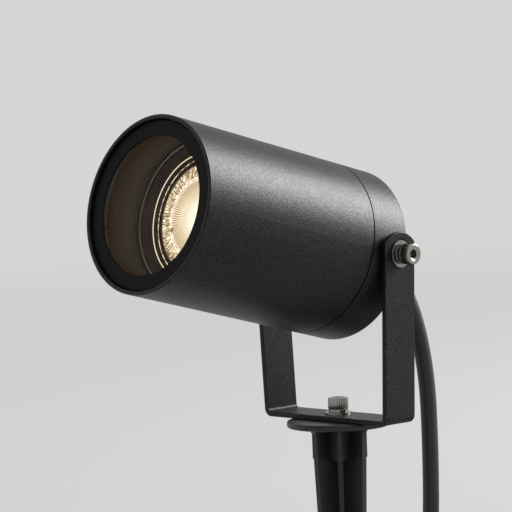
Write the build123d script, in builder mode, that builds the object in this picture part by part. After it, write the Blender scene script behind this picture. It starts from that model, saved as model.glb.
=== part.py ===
from build123d import *
from math import cos, pi, radians, sin, sqrt, tan
import os

os.makedirs("parts", exist_ok=True)

# Garden spike spotlight. Origin on the spike's axis at the ground line, +Z up, beam towards -Y.
# Stations along the housing are measured forwards from the pivot axis, along the beam.

# ---- driving dimensions, millimetres and degrees ----

# housing
rest_tilt = 14.3  # beam above the horizontal
cap_back = 5.4  # pivot axis to the back of the cap
cap_front = 10.5  # pivot axis to the seam
seam_gap = 0.55
front_rim = 87.0
cap_edge_r = 0.9
cap_floor_t = 3.5
cap_wall_t = 3.4
spigot_end = 22.5
tube_wall = 3.0
spigot_clear = 0.08
rim_wall = 1.4
rim_chamfer = 0.3

# front glass and its ring
ring_recess = 1.3
ring_t = 2.4
ring_w = 5.4  # front ring, from the rim's bore inwards
ring_groove = 0.3
ring_edge = 0.25
glass_t = 3.0
glass_clear = 0.4
gasket_t = 1.0
gasket_clear = 0.15

# rubber ring between cap and tube
seal_section_r = 0.75
seal_station = 17.0
seal_groove_w = 2.2
seal_to_bore = 0.3
seal_seat_gap = 0.05

# lamp, a 50 mm reflector lamp with two pins
lamp_r = 25.0
lamp_room = 2.0  # between the lamp's rim and the tube's bore
lamp_front = 66.9
lamp_rim_t = 2.6
lamp_neck_r = 9.5
lamp_neck_station = 31.0
lamp_seat = 20.2  # back of the lamp on the front of its holder
lamp_shoulder = 58.0
lamp_shoulder_in = 1.4  # inside the lamp's rim
lamp_bulge_in = 6.4
lamp_bulge_station = 43.0
bezel_in = 0.9
step_1_in = 3.45  # bright steps of the bezel, inside the lamp's rim and behind its front
step_1_back = 2.9
step_2_in = 4.74
step_2_back = 4.1
lens_in = 6.2
lens_back_from_rim = 4.3
lens_crown = 0.7
lens_t = 4.0
lens_clear = 0.1
lens_spot_r = 2.0
lens_spot_depth = 0.5
board_in = 2.8  # inside the lens
board_t = 1.6
board_gap = 1.0
chip_r = 4.5
chip_t = 0.7
pin_r = 0.75
pin_spacing = 5.33
pin_length = 7.5
socket_clear = 0.1
socket_extra = 0.5

# lamp holder on its strap
holder_x = 17.0
holder_y = 11.0
holder_corner_r = 2.0
strap_station = 7.6  # back face of the strap
strap_t = 1.2
strap_w = 16.0
strap_end_gap = 4.1  # from the strap's ends to the cap's bore
strap_hole_r = 4.4
strap_screw_end = 3.5  # screws from the strap's ends
pillar_r = 3.4
strap_screw_r = 1.5
strap_screw_length = 7.0
strap_head_r = 2.7
strap_head_h = 1.9
holder_screw_end = 2.3
holder_screw_r = 1.0
holder_head_r = 1.8
holder_head_h = 1.6
hole_clear = 0.05

# wires inside the head
wire_r = 1.0
wire_start_x = 1.25
wire_start_station = 2.4
wire_rise_station = 3.8
wire_top_station = 7.0

# pivot screws and their washers
screw_r = 2.0
screw_head_r = 3.55
screw_head_h = 4.0
screw_edge = 0.35
key_flats = 3.0
key_depth = 2.2
washer_lap = 1.05  # washers outside the screw's head
washer_t = 0.8
spring_in = 0.1  # spring washers inside the screw's head
spring_free_t = 1.9
spring_flat_t = 1.1
spring_slit = 0.5
spacer_t = 1.25
spot_face_clear = 0.45
spot_face_depth = 0.55
boss_lap = 0.5  # outside the washer
boss_length = 9.45
thread_clear = 0.05
pivot_screw_length = 14.0

# bracket, bent from strip
strip_w = 14.4
strip_t = 1.8
under_housing = 28.45  # from the housing down to the underside of the base
arm_splay = 2.5
bend_inner_r = 1.2
arm_top = 7.4  # above the pivot axis
arm_top_r = 9.05
strip_edge_r = 0.3
pad_lap = 0.7  # outside the washer
pad_t = 1.33  # what is left of the strip between its two flats
pad_sink = 0.202
pad_clear = 0.02  # running gap between faces that turn on each other
turn_clear = 0.08  # radial gap of the screws in the bracket

# ground spike
flange_z = 70.0
flange_r = 18.15
flange_t = 2.2
flange_edge_r = 0.7
fin_t = 2.0
fin_top_half = 12.3
fin_flare = 1.6
fin_low_half = 6.2
fin_low_z = -66.0
tip_z = -95.0
tip_half = 0.8
core_top_r = 2.6
core_low_r = 1.3
block_half = 7.0
block_h = 11.3
block_edge_r = 0.8
insert_wall = 1.0
insert_length = 8.0
base_screw_length = 12.0
screw_well = 1.0

# cable gland
gland_exit = 11.0  # behind the cap
gland_thread_wall = 2.88
gland_hex_lap = 1.5  # flats outside the thread
gland_hex_t = 3.6
gland_gasket_t = 0.7
gland_gasket_in = 0.2  # inside the flats
gland_neck = 2.6
gland_inner_end = 2.4  # station of the thread's inner end
gland_nut_lap = 1.2
gland_mouth_wall = 1.48
gland_dome_arc_r = 6.0
gland_seal_wall = 2.0
gland_seal_t = 3.0
locknut_t = 2.6
locknut_lap = 1.0

# cord
cord_d = 6.0
cord_clear = 0.12
cord_bend = 0.45  # share of the shorter run that an arc's tangent takes
coil_r = 43.0
turn_gap = 0.5  # between turns that lie beside and on each other
coil_half_turns = 5  # half turns in a layer before the climb
coil_gap_least = 0.4
run_from_pivot = [(31.8, -11.45), (38.4, -21.15), (43.3, -35.55)]  # back from it and above it
run_hanging = [(0, 45.9, 77.0), (0, 46.3, 60.6), (-0.2, 46.3, 44.6), (-0.5, 46.0, 28.6), (-4.8, 48.2, 16.9)]
run_landing = [(-12.8, 52.3, 8.0), (-22.9, 57.4, 3.2), (-32.6, 62.8, 3.0), (-39.5, 71.2, 3.0)]
run_on_ground = [81.8, 91.6]  # straight back, a coil's radius beside the spike
tail_down = [(0, -11.0, 0), (-0.8, -22.6, -2.2), (-2.6, -34.4, -5.0)]  # heights from the coil's end
tail_on_ground = [(-5.2, -46.0, 0), (-8.6, -57.2, 0), (-12.4, -68.2, 1.6), (-16.0, -79.2, 4.4)]
tail_to_plug = [(-19.0, -90.2), (-21.4, -101.4)]

# low-voltage plug on the cord's far end
boot_length = 16.0
boot_in = 2.0  # inside the grip
boot_mouth_wall = 0.9
grip_r = 7.4
grip_length = 20.0
grip_edge_r = 1.2
collar_wall = 1.4
collar_length = 15.0
collar_clear = 0.2
collar_ribs = 18
collar_rib_r = 0.7
core_clear = 1.4
core_length = 9.0
plug_pin_r = 1.2
plug_pin_length = 6.0
plug_pin_spacing = 5.0
pin_tip = 0.3

# ---- places worked out from them ----

cord_r = cord_d / 2
tube_bore_r = lamp_r + lamp_room
housing_r = tube_bore_r + tube_wall
pivot_height = housing_r + under_housing
pivot_z = flange_z + pivot_height
pivot = Vector(0, 0, pivot_z)
beam = Vector(0, -cos(radians(rest_tilt)), sin(radians(rest_tilt)))
head_up = Vector(0, sin(radians(rest_tilt)), cos(radians(rest_tilt)))
beam_axis = Axis(pivot, beam)
section = Plane(origin=pivot, x_dir=(1, 0, 0), z_dir=head_up * -1)  # x outwards, y along the beam

spigot_r = tube_bore_r - spigot_clear
cap_bore_r = tube_bore_r - cap_wall_t
cap_inside = -cap_back + cap_floor_t
seal_r = tube_bore_r - seal_to_bore - seal_section_r
seal_groove_r = seal_r - seal_section_r - seal_seat_gap
rim_bore_r = housing_r - rim_wall
ring_opening_r = rim_bore_r - ring_w
ring_front = front_rim - ring_recess
glass_front = ring_front - ring_t
glass_back = glass_front - glass_t
ledge = glass_back - gasket_t
strap_front = strap_station + strap_t
strap_length = 2 * (cap_bore_r - strap_end_gap)
strap_screw_offset = strap_length / 2 - strap_screw_end
holder_screw_offset = holder_x / 2 - holder_screw_end
lamp_shoulder_r = lamp_r - lamp_shoulder_in
lamp_bulge_r = lamp_r - lamp_bulge_in
bezel_r = lamp_r - bezel_in
bezel_step_1 = (lamp_r - step_1_in, lamp_front - step_1_back)
bezel_step_2 = (lamp_r - step_2_in, lamp_front - step_2_back)
lens_r = lamp_r - lens_in
lens_front = lamp_front - lens_back_from_rim
lens_back = lens_front - lens_t
board_r = lens_r - board_in
board_front = lens_back - board_gap
washer_r = screw_head_r + washer_lap
spring_r = screw_head_r - spring_in
spot_face_r = washer_r + spot_face_clear
spot_face_x = housing_r - spot_face_depth
boss_r = washer_r + boss_lap
boss_inner_x = spot_face_x - boss_length
spacer_out = spot_face_x + spacer_t
pad_r = washer_r + pad_lap
pad_in = spacer_out + pad_clear
pad_out = pad_in + pad_t
washer_in = pad_out + pad_clear
spring_seat = washer_in + washer_t
head_in = spring_seat + spring_free_t
base_top = flange_z + pad_clear + strip_t
base_washer_z = base_top + pad_clear
base_spring_z = base_washer_z + washer_t
base_head_z = base_spring_z + spring_flat_t
flange_low = flange_z - flange_t
block_low = flange_low - block_h
gland_exit_station = -cap_back - gland_exit
gland_hex_back = -cap_back - gland_gasket_t
gland_nut_front = gland_hex_back - gland_hex_t
gland_nut_seat = gland_nut_front - gland_neck
cord_bore_r = cord_r + cord_clear
gland_thread_r = cord_bore_r + gland_thread_wall
gland_flats = 2 * (gland_thread_r + gland_hex_lap)
gland_gasket_r = gland_flats / 2 - gland_gasket_in
gland_dome_r = gland_thread_r + gland_nut_lap
gland_mouth_r = cord_bore_r + gland_mouth_wall
gland_seal_r = cord_r + gland_seal_wall
locknut_flats = 2 * (gland_thread_r + locknut_lap)
insert_r = screw_r + insert_wall
coil_pitch = cord_d + turn_gap
layer_rise = cord_d + turn_gap
boot_r = grip_r - boot_in
boot_mouth_r = cord_r + boot_mouth_wall
collar_bore_r = grip_r + collar_clear
collar_r = collar_bore_r + collar_wall
core_r = collar_bore_r - core_clear


def station(along):
    """Plane across the housing, its normal along the beam."""
    return Plane(origin=pivot + beam * along, x_dir=(1, 0, 0), z_dir=beam)


def beside(side, across):
    """Plane across the pivot axis, its normal pointing away from the housing."""
    return Plane(origin=(side * across, 0, pivot_z), x_dir=(0, 1, 0), z_dir=(side, 0, 0))


def save(piece, name):
    piece.part.label = name
    export_step(piece.part, f"parts/{name}.step")


def turned(points):
    """A piece turned about the beam from its outline in radius and station."""
    with BuildPart() as piece:
        with BuildSketch(section):
            with BuildLine():
                Polyline(*points, close=True)
            make_face()
        revolve(axis=beam_axis)
    return piece


# ---- rear cap ----

with BuildPart() as rear_cap:
    with BuildSketch(section):
        with BuildLine():
            Line((0, -cap_back), (housing_r - cap_edge_r, -cap_back))
            RadiusArc(
                (housing_r - cap_edge_r, -cap_back), (housing_r, -cap_back + cap_edge_r), -cap_edge_r
            )
            Polyline(
                (housing_r, -cap_back + cap_edge_r),
                (housing_r, cap_front),
                (spigot_r, cap_front),
                (spigot_r, seal_station - seal_groove_w / 2),
                (seal_groove_r, seal_station - seal_groove_w / 2),
                (seal_groove_r, seal_station + seal_groove_w / 2),
                (spigot_r, seal_station + seal_groove_w / 2),
                (spigot_r, spigot_end),
                (cap_bore_r, spigot_end),
                (cap_bore_r, cap_inside),
                (0, cap_inside),
                (0, -cap_back),
            )
        make_face()
    revolve(axis=beam_axis)
    with BuildSketch(station(cap_inside)):
        with Locations((0, strap_screw_offset), (0, -strap_screw_offset)):
            Circle(pillar_r)
    extrude(amount=strap_station - cap_inside)
    for side in (1, -1):
        with BuildSketch(beside(side, boss_inner_x)):
            Circle(boss_r)
        extrude(amount=spot_face_x - boss_inner_x)
        with BuildSketch(beside(side, spot_face_x)):
            Circle(spot_face_r)
        extrude(amount=housing_r - spot_face_x + spacer_t, mode=Mode.SUBTRACT)
        with BuildSketch(beside(side, boss_inner_x)):
            Circle(screw_r + thread_clear)
        extrude(amount=housing_r - boss_inner_x, mode=Mode.SUBTRACT)
    with BuildSketch(station(strap_front - strap_screw_length - hole_clear)):
        with Locations((0, strap_screw_offset), (0, -strap_screw_offset)):
            Circle(strap_screw_r + hole_clear)
    extrude(amount=strap_screw_length, mode=Mode.SUBTRACT)
    with BuildSketch(station(-cap_back)):
        Circle(gland_thread_r + hole_clear)
    extrude(amount=cap_floor_t, mode=Mode.SUBTRACT)
save(rear_cap, "rear_cap")

with BuildPart() as cap_seal:
    with BuildSketch(section):
        with Locations((seal_r, seal_station)):
            Circle(seal_section_r)
    revolve(axis=beam_axis)
save(cap_seal, "cap_seal")

# ---- housing tube, front ring and glass ----

housing_tube = turned(
    [
        (tube_bore_r, cap_front + seam_gap),
        (housing_r, cap_front + seam_gap),
        (housing_r, front_rim - rim_chamfer),
        (housing_r - rim_chamfer, front_rim),
        (rim_bore_r + rim_chamfer, front_rim),
        (rim_bore_r, front_rim - rim_chamfer),
        (rim_bore_r, ledge),
        (tube_bore_r, ledge),
    ]
)
save(housing_tube, "housing_tube")

front_ring = turned(
    [
        (ring_opening_r, glass_front),
        (rim_bore_r - ring_groove, glass_front),
        (rim_bore_r - ring_groove, ring_front - ring_edge),
        (rim_bore_r - ring_groove - ring_edge, ring_front),
        (ring_opening_r + ring_edge, ring_front),
        (ring_opening_r, ring_front - ring_edge),
    ]
)
save(front_ring, "front_ring")

with BuildPart() as front_glass:
    with BuildSketch(station(glass_back)):
        Circle(rim_bore_r - glass_clear)
    extrude(amount=glass_t)
    chamfer(front_glass.edges().filter_by(GeomType.CIRCLE), ring_edge)
save(front_glass, "front_glass")

with BuildPart() as glass_gasket:
    with BuildSketch(station(ledge)):
        Circle(rim_bore_r - gasket_clear)
        Circle(tube_bore_r, mode=Mode.SUBTRACT)
    extrude(amount=gasket_t)
save(glass_gasket, "glass_gasket")

# ---- lamp ----

with BuildPart() as lamp_body:
    with BuildSketch(section):
        with BuildLine():
            Polyline(
                (0, lamp_seat),
                (lamp_neck_r, lamp_seat),
                (lamp_neck_r, lamp_neck_station),
            )
            ThreePointArc(
                (lamp_neck_r, lamp_neck_station),
                (lamp_bulge_r, lamp_bulge_station),
                (lamp_shoulder_r, lamp_shoulder),
            )
            Polyline(
                (lamp_shoulder_r, lamp_shoulder),
                (lamp_r, lamp_front - lamp_rim_t),
                (lamp_r, lamp_front),
                (bezel_r, lamp_front),
                (bezel_r, lens_front),
                (lens_r + lens_clear, lens_front),
                (lens_r + lens_clear, lens_back),
                (board_r, lens_back),
                (board_r, board_front - board_t),
                (0, board_front - board_t),
                (0, lamp_seat),
            )
        make_face()
    revolve(axis=beam_axis)
    fins = 20
    fin_slot_depth = lamp_shoulder_r - lamp_bulge_r
    with BuildSketch(station(lamp_bulge_station)):
        with PolarLocations(lamp_shoulder_r, fins):
            Rectangle(fin_slot_depth, lamp_rim_t)
    extrude(amount=lamp_shoulder - lamp_bulge_station - lamp_rim_t, mode=Mode.SUBTRACT)
save(lamp_body, "lamp_body")

lamp_bezel = turned(
    [
        (lens_r + lens_clear, lens_front),
        (bezel_r, lens_front),
        (bezel_r, lamp_front),
        (bezel_r - ring_edge, lamp_front),
        (bezel_step_1[0] + ring_edge, bezel_step_1[1]),
        (bezel_step_1[0], bezel_step_1[1]),
        (bezel_step_2[0] + ring_edge, bezel_step_2[1]),
        (bezel_step_2[0], bezel_step_2[1]),
    ]
)
save(lamp_bezel, "lamp_bezel")

with BuildPart() as lamp_lens:
    with BuildSketch(section):
        with BuildLine():
            Line((0, lens_back), (lens_r, lens_back))
            Line((lens_r, lens_back), (lens_r, lens_front))
            ThreePointArc(
                (lens_r, lens_front),
                (lens_r / 2, lens_front + lens_crown * 3 / 4),
                (0, lens_front + lens_crown),
            )
            Line((0, lens_front + lens_crown), (0, lens_back))
        make_face()
    revolve(axis=beam_axis)
    with BuildSketch(station(lens_front + lens_crown - lens_spot_depth)):
        Circle(lens_spot_r)
    extrude(amount=lens_crown, mode=Mode.SUBTRACT)
save(lamp_lens, "lamp_lens")

with BuildPart() as lamp_board:
    with BuildSketch(station(board_front - board_t)):
        Circle(board_r)
    extrude(amount=board_t)
save(lamp_board, "lamp_board")

with BuildPart() as lamp_chip:
    with BuildSketch(station(board_front)):
        Circle(chip_r)
    extrude(amount=chip_t)
save(lamp_chip, "lamp_chip")

with BuildPart() as lamp_pins:
    with BuildSketch(station(lamp_seat - pin_length)):
        with Locations((pin_spacing / 2, 0), (-pin_spacing / 2, 0)):
            Circle(pin_r)
    extrude(amount=pin_length)
save(lamp_pins, "lamp_pins")

# ---- lamp holder, strap and their screws ----

with BuildPart() as lamp_holder:
    with BuildSketch(station(strap_front)):
        RectangleRounded(holder_x, holder_y, holder_corner_r)
    extrude(amount=lamp_seat - strap_front)
    with BuildSketch(station(lamp_seat - pin_length - socket_extra)):
        with Locations((pin_spacing / 2, 0), (-pin_spacing / 2, 0)):
            Circle(pin_r + socket_clear)
    extrude(amount=pin_length + socket_extra, mode=Mode.SUBTRACT)
    with BuildSketch(station(strap_front)):
        with Locations((holder_screw_offset, 0), (-holder_screw_offset, 0)):
            Circle(holder_screw_r + hole_clear)
    extrude(amount=lamp_seat - strap_front, mode=Mode.SUBTRACT)
    with BuildSketch(station(lamp_seat - 2 * holder_head_h)):
        with Locations((holder_screw_offset, 0), (-holder_screw_offset, 0)):
            Circle(holder_head_r + hole_clear)
    extrude(amount=2 * holder_head_h, mode=Mode.SUBTRACT)
save(lamp_holder, "lamp_holder")

with BuildPart() as holder_strap:
    with BuildSketch(station(strap_station)):
        RectangleRounded(strap_w, strap_length, holder_corner_r)
        Circle(strap_hole_r, mode=Mode.SUBTRACT)
        with Locations((0, strap_screw_offset), (0, -strap_screw_offset)):
            Circle(strap_screw_r + hole_clear, mode=Mode.SUBTRACT)
        with Locations((holder_screw_offset, 0), (-holder_screw_offset, 0)):
            Circle(holder_screw_r + hole_clear, mode=Mode.SUBTRACT)
    extrude(amount=strap_t)
save(holder_strap, "holder_strap")

with BuildPart() as strap_screws:
    for offset in (strap_screw_offset, -strap_screw_offset):
        with BuildSketch(station(strap_front - strap_screw_length)):
            with Locations((0, offset)):
                Circle(strap_screw_r)
        extrude(amount=strap_screw_length)
        with BuildSketch(station(strap_front)):
            with Locations((0, offset)):
                Circle(strap_head_r)
        extrude(amount=strap_head_h)
save(strap_screws, "strap_screws")

with BuildPart() as holder_screws:
    for offset in (holder_screw_offset, -holder_screw_offset):
        with BuildSketch(station(strap_station)):
            with Locations((offset, 0)):
                Circle(holder_screw_r)
        extrude(amount=lamp_seat - 2 * holder_head_h - strap_station)
        with BuildSketch(station(lamp_seat - 2 * holder_head_h)):
            with Locations((offset, 0)):
                Circle(holder_head_r)
        extrude(amount=holder_head_h)
save(holder_screws, "holder_screws")

for side, name in ((1, "wire_brown"), (-1, "wire_blue")):
    with BuildPart() as wire:
        with BuildLine(section) as wire_path:
            FilletPolyline(
                (side * wire_start_x, wire_start_station),
                (side * wire_start_x, wire_rise_station),
                (side * pin_spacing / 2, wire_top_station),
                (side * pin_spacing / 2, strap_front),
                radius=2 * wire_r,
            )
        wire_line = wire_path.wires()[0]
        with BuildSketch(Plane(origin=wire_line @ 0, z_dir=wire_line % 0)):
            Circle(wire_r)
        sweep()
    save(wire, name)

# ---- pivot screws, washers and spacers ----

with BuildPart() as pivot_screws:
    for side in (1, -1):
        with BuildSketch(beside(side, head_in - pivot_screw_length)):
            Circle(screw_r)
        extrude(amount=pivot_screw_length)
        with BuildSketch(beside(side, head_in)):
            Circle(screw_head_r)
        extrude(amount=screw_head_h)
        with BuildSketch(beside(side, head_in + screw_head_h - key_depth)):
            RegularPolygon(key_flats / 2, 6, major_radius=False)
        extrude(amount=key_depth, mode=Mode.SUBTRACT)
    head_rims = pivot_screws.edges().filter_by(GeomType.CIRCLE).group_by(Axis.X)
    chamfer(head_rims[-1] + head_rims[0], screw_edge)
save(pivot_screws, "pivot_screws")

with BuildPart() as pivot_spring_washers:
    for side in (1, -1):
        with BuildSketch(beside(side, spring_seat)):
            Circle(spring_r)
            Circle(screw_r + hole_clear, mode=Mode.SUBTRACT)
            with Locations((-spring_r + (spring_r - screw_r) / 2, 0)):
                Rectangle(spring_r, spring_slit, mode=Mode.SUBTRACT)
        extrude(amount=spring_free_t)
save(pivot_spring_washers, "pivot_spring_washers")

with BuildPart() as pivot_washers:
    for side in (1, -1):
        with BuildSketch(beside(side, washer_in)):
            Circle(washer_r)
            Circle(screw_r + hole_clear, mode=Mode.SUBTRACT)
        extrude(amount=washer_t)
save(pivot_washers, "pivot_washers")

with BuildPart() as pivot_spacers:
    for side in (1, -1):
        with BuildSketch(beside(side, spot_face_x)):
            Circle(washer_r)
            Circle(screw_r + hole_clear, mode=Mode.SUBTRACT)
        extrude(amount=spacer_t)
save(pivot_spacers, "pivot_spacers")

# ---- bracket ----

arm_lean = tan(radians(arm_splay))
base_half = pad_out + pad_sink - pivot_height * arm_lean  # to the outside of the bend
arm_rise = pivot_height + arm_top
arm_level = strip_t / cos(radians(arm_splay))  # the strip's thickness measured level
base_z = flange_z + pad_clear
arm_corner_z = pivot_z + arm_top - arm_top_r + sqrt(arm_top_r**2 - (strip_w / 2) ** 2)

with BuildPart() as bracket:
    with BuildSketch(Plane.XZ) as bracket_section:
        with BuildLine():
            Polyline(
                (-base_half, base_z),
                (base_half, base_z),
                (base_half + arm_rise * arm_lean, base_z + arm_rise),
                (base_half + arm_rise * arm_lean - arm_level, base_z + arm_rise),
                (base_half + strip_t * arm_lean - arm_level, base_top),
                (-base_half - strip_t * arm_lean + arm_level, base_top),
                (-base_half - arm_rise * arm_lean + arm_level, base_z + arm_rise),
                (-base_half - arm_rise * arm_lean, base_z + arm_rise),
                close=True,
            )
        make_face()
        fillet(bracket_section.vertices().group_by(Axis.Y)[0], bend_inner_r + strip_t)
        fillet(bracket_section.vertices().filter_by_position(Axis.Y, base_top, base_top), bend_inner_r)
    extrude(amount=strip_w / 2, both=True)
    with BuildSketch(Plane.YZ):
        with BuildLine():
            Polyline(
                (strip_w / 2, arm_corner_z),
                (strip_w / 2, base_z - strip_t),
                (-strip_w / 2, base_z - strip_t),
                (-strip_w / 2, arm_corner_z),
            )
            ThreePointArc(
                (-strip_w / 2, arm_corner_z), (0, pivot_z + arm_top), (strip_w / 2, arm_corner_z)
            )
        make_face()
    extrude(amount=2 * base_half, both=True, mode=Mode.INTERSECT)
    fillet(bracket.edges(), strip_edge_r)
    for side in (1, -1):
        with BuildSketch(beside(side, pad_in - pad_r)):
            Circle(pad_r)
        extrude(amount=pad_r, mode=Mode.SUBTRACT)
        with BuildSketch(beside(side, pad_out)):
            Circle(pad_r)
        extrude(amount=pad_r, mode=Mode.SUBTRACT)
        with BuildSketch(beside(side, pad_in - strip_t)):
            Circle(screw_r + turn_clear)
        extrude(amount=3 * strip_t, mode=Mode.SUBTRACT)
    with BuildSketch(Plane.XY.offset(base_z)):
        Circle(screw_r + turn_clear)
    extrude(amount=strip_t, mode=Mode.SUBTRACT)
save(bracket, "bracket")

# ---- ground spike ----

spike_sides = (Plane.XZ, Plane.YZ)

with BuildPart() as spike:
    with BuildSketch(Plane.XY.offset(flange_low)):
        Circle(flange_r)
    extrude(amount=flange_t)
    fillet(spike.edges().filter_by(GeomType.CIRCLE), flange_edge_r)
    for fin_plane in spike_sides:
        with BuildSketch(fin_plane):
            with BuildLine():
                Polyline(
                    (-fin_top_half - fin_flare, flange_low),
                    (fin_top_half + fin_flare, flange_low),
                    (fin_top_half, flange_low - fin_flare),
                    (fin_low_half, fin_low_z),
                    (tip_half, tip_z),
                    (-tip_half, tip_z),
                    (-fin_low_half, fin_low_z),
                    (-fin_top_half, flange_low - fin_flare),
                    close=True,
                )
            make_face()
        extrude(amount=fin_t / 2, both=True)
    with BuildSketch(Plane.XY.offset(block_low)):
        Circle(core_top_r)
    with BuildSketch(Plane.XY.offset(tip_z)):
        Circle(core_low_r / 2)
    loft()
    with BuildSketch(Plane.XY.offset(block_low)):
        RectangleRounded(2 * block_half, 2 * block_half, block_edge_r)
    extrude(amount=block_h)
    with BuildSketch(Plane.XY.offset(flange_z - insert_length)):
        Circle(insert_r)
    extrude(amount=insert_length, mode=Mode.SUBTRACT)
    with BuildSketch(Plane.XY.offset(base_head_z - base_screw_length - screw_well)):
        Circle(screw_r + turn_clear)
    extrude(amount=flange_z - base_head_z + base_screw_length, mode=Mode.SUBTRACT)
save(spike, "spike")

with BuildPart() as spike_insert:
    with BuildSketch(Plane.XY.offset(flange_z - insert_length)):
        Circle(insert_r)
        Circle(screw_r + thread_clear, mode=Mode.SUBTRACT)
    extrude(amount=insert_length)
save(spike_insert, "spike_insert")

with BuildPart() as base_screw:
    with BuildSketch(Plane.XY.offset(base_head_z - base_screw_length)):
        Circle(screw_r)
    extrude(amount=base_screw_length)
    with BuildSketch(Plane.XY.offset(base_head_z)):
        Circle(screw_head_r)
    extrude(amount=screw_head_h)
    with BuildSketch(Plane.XY.offset(base_head_z + screw_head_h - key_depth)):
        RegularPolygon(key_flats / 2, 6, major_radius=False)
    extrude(amount=key_depth, mode=Mode.SUBTRACT)
    chamfer(base_screw.edges().filter_by(GeomType.CIRCLE).group_by(Axis.Z)[-1], screw_edge)
save(base_screw, "base_screw")

with BuildPart() as base_spring_washer:
    with BuildSketch(Plane.XY.offset(base_spring_z)):
        Circle(spring_r)
        Circle(screw_r + hole_clear, mode=Mode.SUBTRACT)
        with Locations((-spring_r + (spring_r - screw_r) / 2, 0)):
            Rectangle(spring_r, spring_slit, mode=Mode.SUBTRACT)
    extrude(amount=spring_flat_t)
save(base_spring_washer, "base_spring_washer")

with BuildPart() as base_washer:
    with BuildSketch(Plane.XY.offset(base_washer_z)):
        Circle(washer_r)
        Circle(screw_r + hole_clear, mode=Mode.SUBTRACT)
    extrude(amount=washer_t)
save(base_washer, "base_washer")

# ---- cable gland ----

with BuildPart() as gland_body:
    with BuildSketch(station(gland_nut_front)):
        RegularPolygon(gland_flats / 2, 6, major_radius=False)
    extrude(amount=gland_hex_t)
    with BuildSketch(station(gland_nut_seat)):
        Circle(gland_thread_r)
    extrude(amount=gland_inner_end - gland_nut_seat)
    with BuildSketch(station(gland_nut_seat)):
        Circle(cord_bore_r)
    extrude(amount=gland_inner_end - gland_nut_seat, mode=Mode.SUBTRACT)
save(gland_body, "gland_body")

with BuildPart() as gland_gasket:
    with BuildSketch(station(gland_hex_back)):
        Circle(gland_gasket_r)
        Circle(gland_thread_r + hole_clear, mode=Mode.SUBTRACT)
    extrude(amount=gland_gasket_t)
save(gland_gasket, "gland_gasket")

with BuildPart() as gland_nut:
    with BuildSketch(section):
        with BuildLine():
            Polyline(
                (gland_thread_r + hole_clear, gland_nut_front),
                (gland_dome_r, gland_nut_front),
                (gland_dome_r, gland_nut_seat),
            )
            RadiusArc(
                (gland_dome_r, gland_nut_seat), (gland_mouth_r, gland_exit_station), gland_dome_arc_r
            )
            Polyline(
                (gland_mouth_r, gland_exit_station),
                (cord_bore_r, gland_exit_station),
                (cord_bore_r, gland_nut_seat - gland_seal_t),
                (gland_seal_r, gland_nut_seat - gland_seal_t),
                (gland_seal_r, gland_nut_seat),
                (gland_thread_r + hole_clear, gland_nut_seat),
                (gland_thread_r + hole_clear, gland_nut_front),
            )
        make_face()
    revolve(axis=beam_axis)
save(gland_nut, "gland_nut")

with BuildPart() as gland_seal:
    with BuildSketch(station(gland_nut_seat - gland_seal_t)):
        Circle(gland_seal_r)
        Circle(cord_r + hole_clear, mode=Mode.SUBTRACT)
    extrude(amount=gland_seal_t)
save(gland_seal, "gland_seal")

with BuildPart() as gland_locknut:
    with BuildSketch(station(cap_inside)):
        RegularPolygon(locknut_flats / 2, 6, major_radius=False)
        Circle(gland_thread_r + hole_clear, mode=Mode.SUBTRACT)
    extrude(amount=locknut_t)
save(gland_locknut, "gland_locknut")

with BuildPart() as cord_entry:
    with BuildSketch(station(gland_exit_station)):
        Circle(cord_r)
    extrude(amount=wire_start_station - gland_exit_station)
save(cord_entry, "cord_entry")

# ---- cord: down behind the bracket, round to the side, coil, tail ----


def bend_radii(points):
    """One radius for each corner of a route, as large as its two runs allow."""
    radii = []
    for before, corner, after in zip(points, points[1:], points[2:]):
        run_in = corner - before
        run_out = after - corner
        half_turn = radians(run_in.get_angle(run_out)) / 2
        radii.append(cord_bend * min(run_in.length, run_out.length) / tan(half_turn))
    return radii


def cord_along(points, name):
    """A cord's free stretch: straight runs joined by tangent arcs."""
    radii = bend_radii(points)
    with BuildPart() as piece:
        with BuildLine() as route:
            FilletPolyline(*points, radius=radii)
        centre_line = route.wires()[0]
        with BuildSketch(Plane(origin=centre_line @ 0, z_dir=centre_line % 0)):
            Circle(cord_r)
        sweep()
    share = piece.part.volume / (pi * cord_r**2 * centre_line.length)
    print(name, "radii", [round(radius, 1) for radius in radii])
    print(name, "length", round(centre_line.length, 1), "volume share", round(share, 4))
    save(piece, name)
    return centre_line.length


ground = cord_r
exit_point = pivot + beam * gland_exit_station
run_points = [
    exit_point,
    exit_point - beam * 8.0,
    *[Vector(0, back, pivot_z + rise) for back, rise in run_from_pivot],
    *[Vector(*place) for place in run_hanging + run_landing],
    *[Vector(-coil_r, back, ground) for back in run_on_ground],
]
run_length = cord_along(run_points, "cord_run")

# The coil turns clockwise seen from above. Each half turn starts where the last one ended, on the line
# across the coil, and is smaller by half a pitch on the way in and larger by as much on the way out.
coil_start = run_points[-1]
line_y = coil_start.Y + cord_d
layer_1 = ground
layer_2 = ground + layer_rise
radii_in = [coil_r - step * coil_pitch / 2 for step in range(coil_half_turns)]
climb_r = coil_r - coil_half_turns * coil_pitch / 2
half_turns = [(radius, layer_1, layer_1) for radius in radii_in]
half_turns.append((climb_r, layer_1, layer_2))
half_turns.extend((radius, layer_2, layer_2) for radius in reversed(radii_in))

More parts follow.
